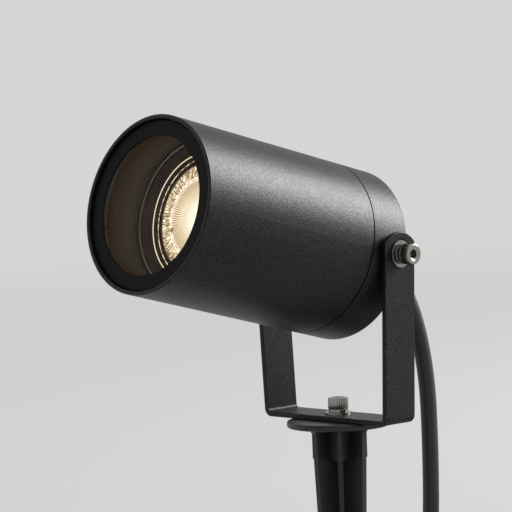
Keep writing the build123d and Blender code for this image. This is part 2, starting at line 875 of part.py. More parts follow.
with BuildPart() as cord_coil:
    with BuildLine() as coil_path:
        Line(coil_start, (coil_start.X, line_y, layer_1))
        across = coil_start.X
        over = 1  # the first half turn goes over the far side, towards +X
        for radius, low, high in half_turns:
            reach = sqrt(radius**2 + ((high - low) / 2) ** 2)
            ThreePointArc(
                (across, line_y, low),
                (across + over * radius, line_y + over * reach, (low + high) / 2),
                (across + over * 2 * radius, line_y, high),
            )
            across += over * 2 * radius
            over = -over
        Line((across, line_y, layer_2), (across, line_y - cord_d, layer_2))
    with BuildSketch(Plane(origin=coil_start, z_dir=(0, 1, 0))):
        Circle(cord_r)
    sweep()
save(cord_coil, "cord_coil")
coil_length = coil_path.wires()[0].length
coil_end = Vector(across, line_y - cord_d, layer_2)
print("cord_coil length", round(coil_length, 1))
print("cord_coil volume share", round(cord_coil.part.volume / (pi * cord_r**2 * coil_length), 4))

coil_wire = coil_path.wires()[0]
samples = 700
coil_points = [coil_wire @ (index / samples) for index in range(samples + 1)]
sample_step = coil_length / samples
skip = int(4 * cord_d / sample_step)
least = min(
    (coil_points[one] - coil_points[two]).length
    for one in range(samples + 1)
    for two in range(one + skip, samples + 1)
)
print("cord_coil least gap", round(least - cord_d, 3), "wanted over", coil_gap_least)

plug_axis_z = collar_r
tail_points = [
    coil_end,
    *[coil_end + Vector(*step) for step in tail_down],
    *[coil_end + Vector(x, y, z - layer_rise) for x, y, z in tail_on_ground],
    *[coil_end + Vector(x, y, plug_axis_z - layer_2) for x, y in tail_to_plug],
]
tail_length = cord_along(tail_points, "cord_tail")
print("cord length in all", round(run_length + coil_length + tail_length, 1))

# ---- plug ----

plug_start = tail_points[-1]
last_run = tail_points[-1] - tail_points[-2]
plug_dir = Vector(last_run.X, last_run.Y, 0).normalized()
plug_side = Vector(-plug_dir.Y, plug_dir.X, 0)
plug_section = Plane(origin=plug_start, x_dir=plug_side, z_dir=plug_side.cross(plug_dir))
plug_line = Axis(plug_start, plug_dir)
grip_start = boot_length
grip_end = boot_length + grip_length
collar_end = grip_end + collar_length
core_end = grip_end + core_length


def plug_at(along):
    """Plane across the plug, its normal towards the pins."""
    return Plane(origin=plug_start + plug_dir * along, x_dir=plug_side, z_dir=plug_dir)


with BuildPart() as plug_grip:
    with BuildSketch(plug_section):
        with BuildLine():
            Polyline((0, 0), (boot_mouth_r, 0), (boot_r, grip_start))
            Line((boot_r, grip_start), (grip_r - grip_edge_r, grip_start))
            RadiusArc(
                (grip_r - grip_edge_r, grip_start), (grip_r, grip_start + grip_edge_r), -grip_edge_r
            )
            Polyline((grip_r, grip_start + grip_edge_r), (grip_r, grip_end), (0, grip_end), (0, 0))
        make_face()
    revolve(axis=plug_line)
save(plug_grip, "plug_grip")

with BuildPart() as plug_core:
    with BuildSketch(plug_at(grip_end)):
        Circle(core_r)
    extrude(amount=core_length)
save(plug_core, "plug_core")

with BuildPart() as plug_collar:
    with BuildSketch(plug_at(grip_end)):
        Circle(collar_r)
        with PolarLocations(collar_r, collar_ribs):
            Circle(collar_rib_r, mode=Mode.SUBTRACT)
        Circle(collar_bore_r, mode=Mode.SUBTRACT)
    extrude(amount=collar_length)
save(plug_collar, "plug_collar")

with BuildPart() as plug_pins:
    with BuildSketch(plug_at(core_end)):
        with Locations((plug_pin_spacing / 2, 0), (-plug_pin_spacing / 2, 0)):
            Circle(plug_pin_r)
    extrude(amount=plug_pin_length)
    chamfer(plug_pins.faces().filter_by(GeomType.PLANE).sort_by(plug_line)[-2:].edges(), pin_tip)
save(plug_pins, "plug_pins")

pin_centre = plug_start + plug_dir * core_end
print("plug direction", plug_dir, "side", plug_side, "pin base", pin_centre)
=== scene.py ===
import bpy
import bmesh
import math
from mathutils import Matrix, Vector


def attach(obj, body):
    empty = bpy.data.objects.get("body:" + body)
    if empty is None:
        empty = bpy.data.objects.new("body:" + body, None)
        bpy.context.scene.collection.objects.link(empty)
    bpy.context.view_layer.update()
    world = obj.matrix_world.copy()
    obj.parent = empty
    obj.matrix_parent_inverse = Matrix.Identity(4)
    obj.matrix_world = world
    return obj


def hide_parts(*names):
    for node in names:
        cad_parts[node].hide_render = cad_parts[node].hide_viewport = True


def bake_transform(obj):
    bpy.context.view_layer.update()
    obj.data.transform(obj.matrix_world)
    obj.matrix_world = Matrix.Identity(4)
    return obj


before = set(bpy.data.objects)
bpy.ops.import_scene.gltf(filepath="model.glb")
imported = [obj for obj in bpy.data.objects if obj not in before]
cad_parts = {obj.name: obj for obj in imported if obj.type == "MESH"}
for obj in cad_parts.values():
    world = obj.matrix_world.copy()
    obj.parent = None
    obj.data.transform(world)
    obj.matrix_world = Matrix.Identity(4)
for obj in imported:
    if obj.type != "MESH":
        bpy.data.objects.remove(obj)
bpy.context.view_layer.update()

# Garden spike spotlight: a powder-coated head on a bent bracket, a plastic ground spike and a rubber lead.
# Metres, +Z up, the spike's axis at the ground line is the origin, the beam points towards -Y.

head = {"pivot": Vector((0, 0, 0.12845)), "tilt": math.radians(14.3)}
beam = Vector((0, -math.cos(head["tilt"]), math.sin(head["tilt"])))
toBeam = Matrix.Translation(head["pivot"]) @ Matrix.Rotation(math.pi / 2 - head["tilt"], 4, "X")  # +Z is the beam

# The camera stands where the photograph was taken from.

camera = {
    "spot": Vector((0.6222, -0.6223, 0.18325)),
    "right": Vector((0.68670, 0.72591, -0.03877)),
    "up": Vector((-0.01890, 0.07113, 0.99730)),
    "back": Vector((0.72670, -0.68411, 0.06256)),
    "lens": 178.3,
    "sensor": 36.0,
}


def makeCamera():
    data = bpy.data.cameras.new("camera")
    data.lens = camera["lens"]
    data.sensor_width = camera["sensor"]
    eye = bpy.data.objects.new("camera", data)
    bpy.context.scene.collection.objects.link(eye)
    turn = Matrix((camera["right"], camera["up"], camera["back"])).transposed().to_4x4()
    eye.matrix_world = Matrix.Translation(camera["spot"]) @ turn
    bpy.context.scene.camera = eye


makeCamera()
print("camera placed")

# The lead leaves the gland, drops behind the bracket, runs along the ground into its coil and on to the plug.
# Its points are in millimetres.

lead = {
    "diameter": 0.006,
    "length": 1.53,
    "down": [
        (0, 15.892, 124.399), (0, 23.644, 122.423), (0, 31.8, 117.0), (0, 38.4, 107.3), (0, 43.3, 92.9),
        (0, 45.9, 77.0), (0, 46.3, 60.6), (-0.2, 46.3, 44.6), (-0.5, 46.0, 28.6), (-4.8, 48.2, 16.9),
        (-12.8, 52.3, 8.0), (-22.9, 57.4, 3.2), (-32.6, 62.8, 3.0), (-39.5, 71.2, 3.0), (-43.0, 81.8, 3.0),
        (-43.0, 91.6, 3.0),
    ],
    "coilStart": -43.0,
    "turnLine": 97.6,  # y of the line that every half turn of the coil starts and ends on
    "halfTurns": [43.0, 39.75, 36.5, 33.25, 30.0, 26.75, 30.0, 33.25, 36.5, 39.75, 43.0],
    "climb": 5,  # the half turn that climbs to the second layer
    "layers": (3.0, 9.5),
    "perHalfTurn": 8,  # route points in a half turn
    "tail": [
        (49.5, 91.6, 9.5), (49.5, 80.6, 9.5), (48.7, 69.0, 7.3), (46.9, 57.2, 4.5), (44.3, 45.6, 3.0),
        (40.9, 34.4, 3.0), (37.1, 23.4, 4.6), (33.5, 12.4, 7.4), (30.5, 1.4, 9.0), (28.1, -9.8, 9.0),
    ],
    "sides": 24,
    "smoothness": 6,  # steps from one route point to the next
    "bendFrom": (0, 0.0064, 0.1208),  # the bend runs straight away from the pivot, which keeps the cord round
    "bendTo": (0, 0.0514, 0.0672),
}


def leadRoute():
    points = list(lead["down"])
    low, high = lead["layers"]
    steps = lead["perHalfTurn"]
    across, over, level = lead["coilStart"], 1, low
    for index, radius in enumerate(lead["halfTurns"]):
        rise = high - low if index == lead["climb"] else 0.0
        reach = radius / math.cos(math.pi / (2 * steps))
        for step in range(steps):
            share = (step + 0.5) / steps
            points.append((
                across + over * (radius - reach * math.cos(math.pi * share)),
                lead["turnLine"] + over * reach * math.sin(math.pi * share),
                level + rise * share,
            ))
        across += over * 2 * radius
        over = -over
        level += rise
    return [Vector(point) / 1000 for point in points + lead["tail"]]


def makeLead():
    curve = bpy.data.curves.new("leadRoute", "CURVE")
    curve.dimensions = "3D"
    curve.resolution_u = lead["smoothness"]
    spline = curve.splines.new("NURBS")
    route = leadRoute()
    spline.points.add(len(route) - 1)
    for point, place in zip(spline.points, route):
        point.co = (*place, 1)
    spline.order_u = 3
    spline.use_endpoint_u = True
    line = bpy.data.objects.new("leadRoute", curve)
    bpy.context.scene.collection.objects.link(line)
    bpy.context.view_layer.update()
    path = [tuple(vertex.co) for vertex in bpy.data.meshes.new_from_object(line).vertices]
    curve.bevel_depth = lead["diameter"] / 2
    curve.bevel_resolution = lead["sides"] // 4 - 1
    curve.use_fill_caps = True
    bpy.context.view_layer.update()
    tube = bpy.data.meshes.new_from_object(line.evaluated_get(bpy.context.evaluated_depsgraph_get()))
    bpy.data.objects.remove(line)
    piece = bpy.data.objects.new("lead", tube)
    bpy.context.scene.collection.objects.link(piece)
    for face in tube.polygons:
        face.use_smooth = True
    return piece, path


leadPiece, leadPath = makeLead()
print("lead laid along", len(leadPath), "points")

# Materials


def addNode(tree, kind, settings=None, links=None):  # a key is a socket's name or number, or a setting's name
    node = tree.nodes.new(kind)
    for name, value in (settings or {}).items():
        if isinstance(name, int) or name in node.inputs:
            node.inputs[name].default_value = value
        else:
            setattr(node, name, value)
    for name, source in (links or {}).items():
        tree.links.new(source, node.inputs[name])
    return node


def linear(code):  # sRGB hex to the linear colour that Blender mixes
    parts = [int(code[i:i + 2], 16) / 255 for i in (1, 3, 5)]
    return (*(part / 12.92 if part <= 0.04045 else ((part + 0.055) / 1.055) ** 2.4 for part in parts), 1)


def newMaterial(name, **settings):
    material = bpy.data.materials.new(name)
    material.use_nodes = True
    tree = material.node_tree
    tree.nodes.clear()
    constants = {key.replace("_", " "): value for key, value in settings.items()}
    shader = addNode(tree, "ShaderNodeBsdfPrincipled", constants)
    addNode(tree, "ShaderNodeOutputMaterial", None, {"Surface": shader.outputs[0]})
    place = addNode(tree, "ShaderNodeTexCoord").outputs["Object"]
    return material, tree, shader, place


def sortParts(parts):  # numbers set a socket, sockets are linked to it
    settings = {index: part for index, part in enumerate(parts) if not isinstance(part, bpy.types.NodeSocket)}
    return settings, {index: part for index, part in enumerate(parts) if index not in settings}


def reckon(tree, operation, *parts):
    settings, links = sortParts(parts)
    return addNode(tree, "ShaderNodeMath", {"operation": operation, **settings}, links).outputs[0]


def reckonVector(tree, operation, *parts):
    settings, links = sortParts(parts)
    node = addNode(tree, "ShaderNodeVectorMath", {"operation": operation, **settings}, links)
    return node.outputs["Value" if operation in ("LENGTH", "DISTANCE") else 0]


def stretch(tree, place, scale):
    return addNode(tree, "ShaderNodeMapping", {"Scale": scale}, {"Vector": place}).outputs[0]


def spread(tree, source, low, high, **settings):  # 0 to 1, or the range in settings, to low to high
    limits = {"To Min": low, "To Max": high, **settings}
    return addNode(tree, "ShaderNodeMapRange", limits, {"Value": source}).outputs["Result"]


def choose(tree, share, first, second):  # first where share is 0, second where it is 1
    settings, links = sortParts((share, None, first, second))
    settings.pop(1)
    return addNode(tree, "ShaderNodeMix", {"data_type": "FLOAT", **settings}, links).outputs[0]


def grain(tree, place, size, detail=2.0):  # noise whose blobs are size metres across
    return addNode(
        tree, "ShaderNodeTexNoise", {"Scale": 1 / size, "Detail": detail, "Roughness": 0.55}, {"Vector": place}
    ).outputs["Fac"]


def shades(tree, source, stops):  # ramp from (position, hex colour or number) stops
    ramp = addNode(tree, "ShaderNodeValToRGB", None, {"Fac": source})
    steps = ramp.color_ramp.elements
    for index, (position, value) in enumerate(stops):
        step = steps[index] if index < 2 else steps.new(position)
        step.position = position
        step.color = linear(value) if isinstance(value, str) else (value, value, value, 1)
    return ramp.outputs["Color"]


def rough(tree, shader, source, low, high):
    tree.links.new(spread(tree, source, low, high), shader.inputs["Roughness"])


def colour(tree, shader, source, stops, socket="Base Color"):
    tree.links.new(shades(tree, source, stops), shader.inputs[socket])


def bumps(tree, shader, layers):  # layers: (height source, depth in metres)
    normal = None
    for source, depth in layers:
        node = addNode(tree, "ShaderNodeBump", {"Strength": 1.0, "Distance": depth}, {"Height": source})
        if normal:
            tree.links.new(normal, node.inputs["Normal"])
        normal = node.outputs["Normal"]
    tree.links.new(normal, shader.inputs["Normal"])


def beamPlace(tree, place):  # the same place seen along the beam: +Z forwards, the pivot at zero
    return addNode(
        tree, "ShaderNodeMapping",
        {"vector_type": "TEXTURE", "Location": head["pivot"], "Rotation": (math.pi / 2 - head["tilt"], 0, 0)},
        {"Vector": place},
    ).outputs[0]


def powderCoat():
    # Sprayed and baked polyester powder, fine texture: matt black with a broad sheen and a sparkle of small bumps.
    # The real grit is about 0.25 mm; it is drawn at 0.6 mm so that it shows.
    material, tree, shader, place = newMaterial("powderCoat", IOR=1.5, Specular_IOR_Level=0.36)
    grit = grain(tree, place, 0.0006, 1.0)
    cloud = grain(tree, place, 0.009)
    colour(tree, shader, grit, [(0.35, "#08080a"), (0.7, "#121215")])
    colour(tree, shader, grit, [(0.36, 0.4), (0.64, 1.0)], "Specular Tint")
    rough(tree, shader, cloud, 0.42, 0.46)
    bumps(tree, shader, [(grit, 0.00006)])
    return material


def blackRing():
    # Turned aluminium with a dead matt black finish: faint turning marks round the beam.
    material, tree, shader, place = newMaterial("blackRing", IOR=1.5, Specular_IOR_Level=0.12)
    rings = addNode(
        tree, "ShaderNodeTexWave", {"wave_type": "RINGS", "rings_direction": "Z", "Scale": 420.0, "Distortion": 0.6},
        {"Vector": beamPlace(tree, place)},
    ).outputs["Fac"]
    speck = grain(tree, place, 0.0006)
    colour(tree, shader, speck, [(0.3, "#080808"), (0.75, "#0f0f0f")])
    rough(tree, shader, speck, 0.55, 0.68)
    bumps(tree, shader, [(rings, 0.00001), (speck, 0.00002)])
    return material


def boreWithPaintedGlow():
    # The bore, dead matt and without a sheen: its warm grey-brown is painted light, the lamp's warm glow put into the
    # colour of a dark wall.
    material, tree, shader, place = newMaterial("mattBorePaintedGlow", IOR=1.5, Specular_IOR_Level=0.05)
    grit = grain(tree, place, 0.0005)
    # painted glow: the warm grey-brown stands for the lamp's light on the dark bore
    colour(tree, shader, grit, [(0.3, "#514739"), (0.7, "#63584a")])
    rough(tree, shader, grit, 0.7, 0.85)
    bumps(tree, shader, [(grit, 0.00012)])
    return material


def brightMetal(name, code, low, high, streak):
    # Machined or rolled metal: streaks of slightly different gloss.
    material, tree, shader, place = newMaterial(name, Metallic=1.0, Base_Color=linear(code))
    streaks = grain(tree, stretch(tree, place, streak), 0.0009, 4.0)
    rough(tree, shader, streaks, low, high)
    bumps(tree, shader, [(streaks, 0.000012)])
    return material


def moulded(name, codes, low, high, size, depth, gloss=0.5):
    # Moulded or extruded plastic and rubber: one colour with a faint cloud in it, 14 times as coarse as its skin.
    material, tree, shader, place = newMaterial(name, IOR=1.5, Specular_IOR_Level=gloss)
    skin = grain(tree, place, size)
    cloud = grain(tree, place, size * 14, 3.0)
    colour(tree, shader, cloud, [(0.3, codes[0]), (0.7, codes[1])])
    rough(tree, shader, skin, low, high)
    bumps(tree, shader, [(skin, depth), (cloud, depth * 1.5)])
    return material


def clearGlass():
    # Toughened float glass with an anti-reflection coat: clear, with hardly a reflection. The coat cancels
    # most of what glass of 1.5 sends back, so the index is set as low as the little that is left.
    material, tree, shader, place = newMaterial(
        "clearGlass", Base_Color=(0.985, 0.99, 0.985, 1), IOR=1.12, Transmission_Weight=1.0
    )
    rough(tree, shader, grain(tree, place, 0.012, 4.0), 0.0, 0.01)
    return material


def litPlastic(name, code, strength):
    # The light-emitting chip under its phosphor.
    material, tree, shader, place = newMaterial(name, IOR=1.5, Emission_Color=linear(code), Emission_Strength=strength)
    colour(tree, shader, grain(tree, place, 0.0008), [(0.3, "#e8c44a"), (0.7, "#f4da78")])
    rough(tree, shader, grain(tree, place, 0.0004), 0.3, 0.45)
    return material


lens = {
    "radius": 0.0188, "back": 0.0586, "front": 0.0626, "sides": 96, "crown": 0.0007, "spotDepth": 0.0005,
    "rings": [
        0.0188, 0.0181, 0.0170, 0.0160, 0.0150, 0.0143, 0.0139, 0.0134, 0.0130, 0.0112, 0.0094, 0.0076, 0.0040, 0.0021,
    ],
    "prisms": (0.0143, 0.0181), "prismWall": 0.00016, "prismRise": 0.00030,
    "beads": [(0.0139, 0.0143), (0.0130, 0.0134)], "beadWall": 0.0001, "beadRise": 0.00025,
    "flutes": (0.0076, 0.0130), "fluteWall": 0.00014, "fluteRise": 0.00024,
}
glow = {  # stops along the radius are shares of the lens's radius
    "bright": 1.14,
    "cells": 66, "cellLength": 0.0021, "cellLevels": (0.7, 1.1),
    "cracks": [(0.02, 0.35), (0.14, 1.0)],
    "dashScale": (3.0, 0.5, 1.0), "dashes": [(0.42, 0.1), (0.52, 1.0)],
    "strokes": 96.0, "strokeLevels": (0.22, 0.75), "stroked": [(0.70, 1.0), (0.71, 0.0)],
    "middle": [(0.0, 0.7), (0.2, 0.55), (0.4, 0.2), (0.6, 0.0)],
    "beads": [
        (0.685, 0.0), (0.70, 1.0), (0.71, 1.0), (0.718, 0.12), (0.737, 0.12), (0.745, 1.0), (0.757, 1.0), (0.77, 0.0),
    ],
    "rim": [(0.96, 1.0), (0.99, 0.1)],
    "mark": (-0.0126, -0.0043, 0), "markWidth": 0.0018, "markEdge": [(0.42, 0.3), (0.58, 1.0)],
    "tones": [(0.0, "#4a3b2a"), (0.25, "#8d7858"), (0.5, "#c3ac88"), (0.75, "#e5d4b6"), (1.0, "#fff4e4")],
    "plastic": [(0.0, "#8d7f66"), (1.0, "#5d5038")],
}


def acrossBeam(tree, place):  # the place seen along the beam, flattened onto the lens
    return reckonVector(tree, "MULTIPLY", beamPlace(tree, place), (1, 1, 0))


def lampLens():
    # Moulded acrylic lit from behind. Its glow follows the moulding: ragged prisms outside, two beads, fine flutes
    # and a burnt-out middle, with one small dark mark.
    material, tree, shader, place = newMaterial("lampLens", IOR=1.49, Emission_Strength=glow["bright"])
    flat = acrossBeam(tree, place)
    radius = reckonVector(tree, "LENGTH", flat)
    share = reckon(tree, "DIVIDE", radius, lens["radius"])
    parts = addNode(tree, "ShaderNodeSeparateXYZ", None, {0: flat}).outputs
    turn = reckon(tree, "ARCTAN2", parts[1], parts[0])

    around = reckon(tree, "MULTIPLY", turn, glow["cells"] / (2 * math.pi))
    outwards = reckon(tree, "DIVIDE", radius, glow["cellLength"])
    polar = addNode(tree, "ShaderNodeCombineXYZ", None, {0: around, 1: outwards}).outputs[0]
    cells = addNode(tree, "ShaderNodeTexVoronoi", {"Scale": 1.0}, {"Vector": polar}).outputs
    cracks = addNode(
        tree, "ShaderNodeTexVoronoi", {"feature": "DISTANCE_TO_EDGE", "Scale": 1.0}, {"Vector": polar}
    ).outputs["Distance"]
    dashes = shades(tree, grain(tree, stretch(tree, polar, glow["dashScale"]), 1.0, 3.0), glow["dashes"])
    facets = reckon(tree, "MULTIPLY", shades(tree, cracks, glow["cracks"]), dashes)
    each = addNode(tree, "ShaderNodeSeparateXYZ", None, {0: cells["Color"]}).outputs[0]
    ragged = reckon(tree, "MULTIPLY", facets, spread(tree, each, *glow["cellLevels"]))

    wave = reckon(tree, "COSINE", reckon(tree, "MULTIPLY", turn, glow["strokes"]))
    strokes = spread(tree, wave, *glow["strokeLevels"], **{"From Min": -1.0, "From Max": 1.0})
    pattern = choose(tree, shades(tree, share, glow["stroked"]), ragged, strokes)
    pattern = reckon(tree, "ADD", pattern, shades(tree, share, glow["middle"]))
    lit = reckon(tree, "MAXIMUM", pattern, shades(tree, share, glow["beads"]))

    away = reckon(tree, "DIVIDE", reckonVector(tree, "DISTANCE", flat, glow["mark"]), glow["markWidth"])
    lit = reckon(tree, "MULTIPLY", lit, shades(tree, away, glow["markEdge"]))
    lit = reckon(tree, "MULTIPLY", lit, shades(tree, share, glow["rim"]))
    colour(tree, shader, lit, glow["tones"], "Emission Color")
    colour(tree, shader, cells["Distance"], glow["plastic"])
    rough(tree, shader, cells["Distance"], 0.12, 0.3)
    return material


bezel = {
    "inner": 0.0189, "outer": 0.0241, "back": 0.0622, "front": 0.0669, "sides": 128,
    "steps": [(0.02155, 0.0640), (0.02026, 0.0628)], "edge": 0.0003,
    # the beads glow as painted highlights on the bezel's edges
    "beads": [  # radius, station, thickness
        (0.0250, 0.0668, 0.00013), (0.02155, 0.0640, 0.00017), (0.02026, 0.0628, 0.00016),
    ],
    "beadSides": 8,
}


def paintedEdgeHighlights():
    # Painted highlights: the bezel's edges glow as if they caught the lamp's light, with a bright line on the wide
    # step, one broken into dots on the narrow step, and a faint one at the lamp's rim. The stops are shares of twice
    # the wide step's radius.
    material, tree, shader, place = newMaterial(
        "edgeHighlightGlow", IOR=1.49, Emission_Strength=1.0, Base_Color=linear("#6f6250")
    )
    radius = reckonVector(tree, "LENGTH", acrossBeam(tree, place))
    share = reckon(tree, "DIVIDE", radius, 2 * bezel["steps"][0][0])
    dots = shades(tree, grain(tree, place, 0.0011), [(0.46, 0.12), (0.54, 1.0)])
    level = choose(tree, shades(tree, share, [(0.48, 1.0), (0.49, 0.0)]), 1.0, dots)
    level = reckon(tree, "MULTIPLY", level, shades(tree, share, [(0.53, 1.0), (0.54, 0.3)]))
    colour(tree, shader, level, [(0.0, "#2e251b"), (1.0, "#f3e0bd")], "Emission Color")
    rough(tree, shader, grain(tree, place, 0.002), 0.15, 0.3)
    return material


finishes = {
    "powder_coat": powderCoat(),
    "black_ring": blackRing(),
    "stainless": brightMetal("stainlessSteel", "#989590", 0.16, 0.30, (1, 1, 1)),
    "black_plastic": moulded("blackPolypropylene", ("#0f0f11", "#161618"), 0.34, 0.46, 0.0006, 0.00002),
    "plug_plastic": moulded("blackSoftVinyl", ("#121213", "#19191b"), 0.42, 0.55, 0.0005, 0.00003),
    "gland_plastic": moulded("blackNylon", ("#131315", "#1b1b1e"), 0.38, 0.5, 0.0005, 0.00002),
    "cord_rubber": moulded("blackRubberSheath", ("#131315", "#1d1d20"), 0.42, 0.55, 0.0006, 0.00003),
    "seal_rubber": moulded("sealRubber", ("#0d0d0e", "#151516"), 0.5, 0.65, 0.0005, 0.00002),
    "silicone": moulded("whiteSilicone", ("#cfccc4", "#dedbd3"), 0.45, 0.6, 0.0006, 0.00002),
    "clear_glass": clearGlass(),
    "lamp_plastic": moulded("lampHousingPlastic", ("#32251c", "#3f3127"), 0.45, 0.6, 0.0006, 0.00002, 0.15),
    "lamp_chrome": brightMetal("lampReflector", "#d8cdb8", 0.12, 0.22, (1, 1, 1)),
    "lamp_lens": lampLens(),
    "board_aluminium": brightMetal("boardAluminium", "#c8cacb", 0.3, 0.45, (1, 6, 1)),
    "led_chip": litPlastic("phosphorChip", "#ffe2a8", 4.0),
    "ceramic": moulded("ceramicHolder", ("#d9d3c4", "#e6e1d4"), 0.5, 0.65, 0.0007, 0.00003),
    "zinc_steel": brightMetal("zincPlatedSteel", "#b9bdc1", 0.28, 0.42, (1, 1, 5)),
    "wire_brown": moulded("brownInsulation", ("#4a2c1a", "#5a3824"), 0.35, 0.45, 0.0005, 0.00001),
    "wire_blue": moulded("blueInsulation", ("#1d3f77", "#274d8a"), 0.35, 0.45, 0.0005, 0.00001),
    "nylon": moulded("blackWasherNylon", ("#0f0f10", "#161618"), 0.35, 0.5, 0.0005, 0.00001),
    "brass": brightMetal("brass", "#c9a45c", 0.22, 0.34, (1, 1, 4)),
}

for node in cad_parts.values():
    node.data.materials[0] = finishes[node.data.materials[0].name]
print("materials on", len(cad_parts), "nodes")

# Helpers for modelling


def startPiece(name, primitive, **where):
    bpy.ops.object.select_all(action="DESELECT")
    primitive(**where)
    piece = bpy.context.object
    piece.name = name
    bpy.ops.object.transform_apply(location=True, rotation=True, scale=True)
    bpy.ops.object.mode_set(mode="EDIT")
    bpy.ops.mesh.select_all(action="SELECT")
    return piece


def pick(piece, mode, test):  # selects the parts of the mesh in edit mode that pass the test
    bpy.ops.mesh.select_mode(type=mode)
    bpy.ops.mesh.select_all(action="DESELECT")
    shape = bmesh.from_edit_mesh(piece.data)
    for part in {"VERT": shape.verts, "EDGE": shape.edges, "FACE": shape.faces}[mode]:
        if test(part):
            part.select_set(True)
    shape.select_flush_mode()
    bmesh.update_edit_mesh(piece.data)


def outlinePiece(name, outline):  # a closed outline in (radius, height), left in edit mode
    piece = startPiece(
        name, bpy.ops.mesh.primitive_circle_add, vertices=len(outline), radius=0.01, fill_type="NOTHING"
    )
    shape = bmesh.from_edit_mesh(piece.data)
    for corner, (radius, height) in zip(shape.verts, outline):
        corner.co = (radius, 0, height)
    bmesh.update_edit_mesh(piece.data)
    return piece


def spunPiece(name, outline, steps):  # the outline spun about +Z
    piece = outlinePiece(name, outline)
    bpy.ops.mesh.spin(steps=steps, angle=2 * math.pi, center=(0, 0, 0), axis=(0, 0, 1))
    cleanShell()
    return piece


def cleanShell():
    bpy.ops.mesh.select_all(action="SELECT")
    bpy.ops.mesh.remove_doubles(threshold=2e-6)
    bpy.ops.mesh.select_all(action="SELECT")
    bpy.ops.mesh.normals_make_consistent(inside=False)


def closePiece(piece, place, smooth=32):  # leaves edit mode and puts the shape where it belongs
    cleanShell()
    bpy.ops.object.mode_set(mode="OBJECT")
    bpy.ops.object.shade_smooth_by_angle(angle=math.radians(smooth))
    piece.data.transform(place)
    return piece


def copyPiece(piece, name, place):
    twin = piece.copy()
    twin.data = piece.data.copy()
    twin.name = name
    twin.data.transform(place)
    bpy.context.scene.collection.objects.link(twin)
    return twin


def joinPieces(name, pieces):
    bpy.ops.object.select_all(action="DESELECT")
    for piece in pieces:
        piece.select_set(True)
    bpy.context.view_layer.objects.active = pieces[0]
    bpy.ops.object.join()
    pieces[0].name = name
    return pieces[0]


def dress(piece, body, slot, *nodes, look=None):  # look: a material of its own in place of the slot's
    piece.data.materials.clear()
    piece.data.materials.append(look or finishes[slot])
    if body:
        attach(piece, body)
    if nodes:
        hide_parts(*nodes)


def sectorShare(face, count):  # how far round its sector a face lies, 0 to 1, for count sectors about +Z
    sector = 2 * math.pi / count
    middle = face.calc_center_median()
    return math.atan2(middle.y, middle.x) % sector / sector


def facing(spot, direction):  # local +Z turned to the direction, then moved to the spot
    return Matrix.Translation(spot) @ Vector(direction).to_track_quat("Z", "Y").to_matrix().to_4x4()


# Socket screws and split spring washers

screw = {
    "shank": 0.002, "tip": 0.0003, "headRadius": 0.00355, "headHeight": 0.004, "foot": 0.0002, "edge": 0.00055,
    "round": 0.3,  # share of the edge that its middle corner is set back
    "sides": 72, "ridge": 0.945,
    "key": 0.00173, "keyMouth": 0.0024, "mouthDepth": 0.0004, "keyDepth": 0.0028,
    "pivotLength": 0.014, "baseLength": 0.012, "pivotSeat": 0.03477, "baseSeat": 0.07374,
}
spring = {
    "inner": 0.00205, "outer": 0.00345, "turn": math.radians(350), "steps": 60,
    "free": 0.0019, "freeThick": 0.0012, "flat": 0.0011, "flatThick": 0.00095,
    "pivotSeat": 0.03287, "baseSeat": 0.07264,
}
tiny = 1e-6  # less than this apart is the same place


def makeScrew(name, length):
    high, edge, radius = screw["headHeight"], screw["edge"], screw["headRadius"]
    shank, tip, foot, back = screw["shank"], screw["tip"], screw["foot"], screw["edge"] * screw["round"]
    piece = spunPiece(name, [
        (0, -length), (shank - tip, -length), (shank, tip - length), (shank, 0),
        (radius - foot, 0), (radius, foot), (radius, high - edge), (radius - back, high - back),
        (radius - edge, high), (screw["keyMouth"], high), (0, high),
    ], screw["sides"])

    # every second line of the head's side goes in: the knurl
    turn = 2 * math.pi / screw["sides"]
    pick(piece, "VERT", lambda corner: abs(corner.co.xy.length - radius) < 10 * tiny and corner.co.z > 0
         and round(math.atan2(corner.co.y, corner.co.x) / turn) % 2 == 1)
    bpy.ops.transform.resize(value=(screw["ridge"], screw["ridge"], 1), center_override=(0, 0, high / 2))

    # the top opens into a shallow cone and a hexagon socket
    pick(piece, "FACE", lambda face: face.calc_center_median().z > high - tiny
         and face.calc_center_median().xy.length < screw["keyMouth"] * 0.98)
    bpy.ops.mesh.delete(type="FACE")
    bpy.ops.mesh.primitive_circle_add(vertices=6, radius=screw["key"], fill_type="NOTHING", location=(0, 0, high))
    pick(piece, "EDGE", lambda side: all(abs(end.co.z - high) < tiny for end in side.verts) and not side.is_manifold)
    bpy.ops.mesh.bridge_edge_loops()
    pick(piece, "EDGE", lambda side: side.is_boundary and side.verts[0].co.xy.length < screw["keyMouth"] * 0.9)
    bpy.ops.transform.translate(value=(0, 0, -screw["mouthDepth"]))
    bpy.ops.mesh.extrude_region_move(TRANSFORM_OT_translate={"value": (0, 0, -screw["keyDepth"])})
    bpy.ops.mesh.edge_face_add()
    return piece


def makeSpring(name, height, thick):
    section = [(spring["inner"], 0), (spring["outer"], 0), (spring["outer"], thick), (spring["inner"], thick)]
    piece = outlinePiece(name, section)
    bpy.ops.object.mode_set(mode="OBJECT")
    sweep = piece.modifiers.new("sweep", "SCREW")
    sweep.axis = "Z"
    sweep.angle = spring["turn"]
    sweep.screw_offset = height - thick
    sweep.steps = sweep.render_steps = spring["steps"]
    sweep.use_merge_vertices = False
    bpy.ops.object.modifier_apply(modifier="sweep")
    bpy.ops.object.mode_set(mode="EDIT")
    bpy.ops.mesh.select_all(action="SELECT")
    bpy.ops.mesh.fill_holes(sides=4)
    return piece


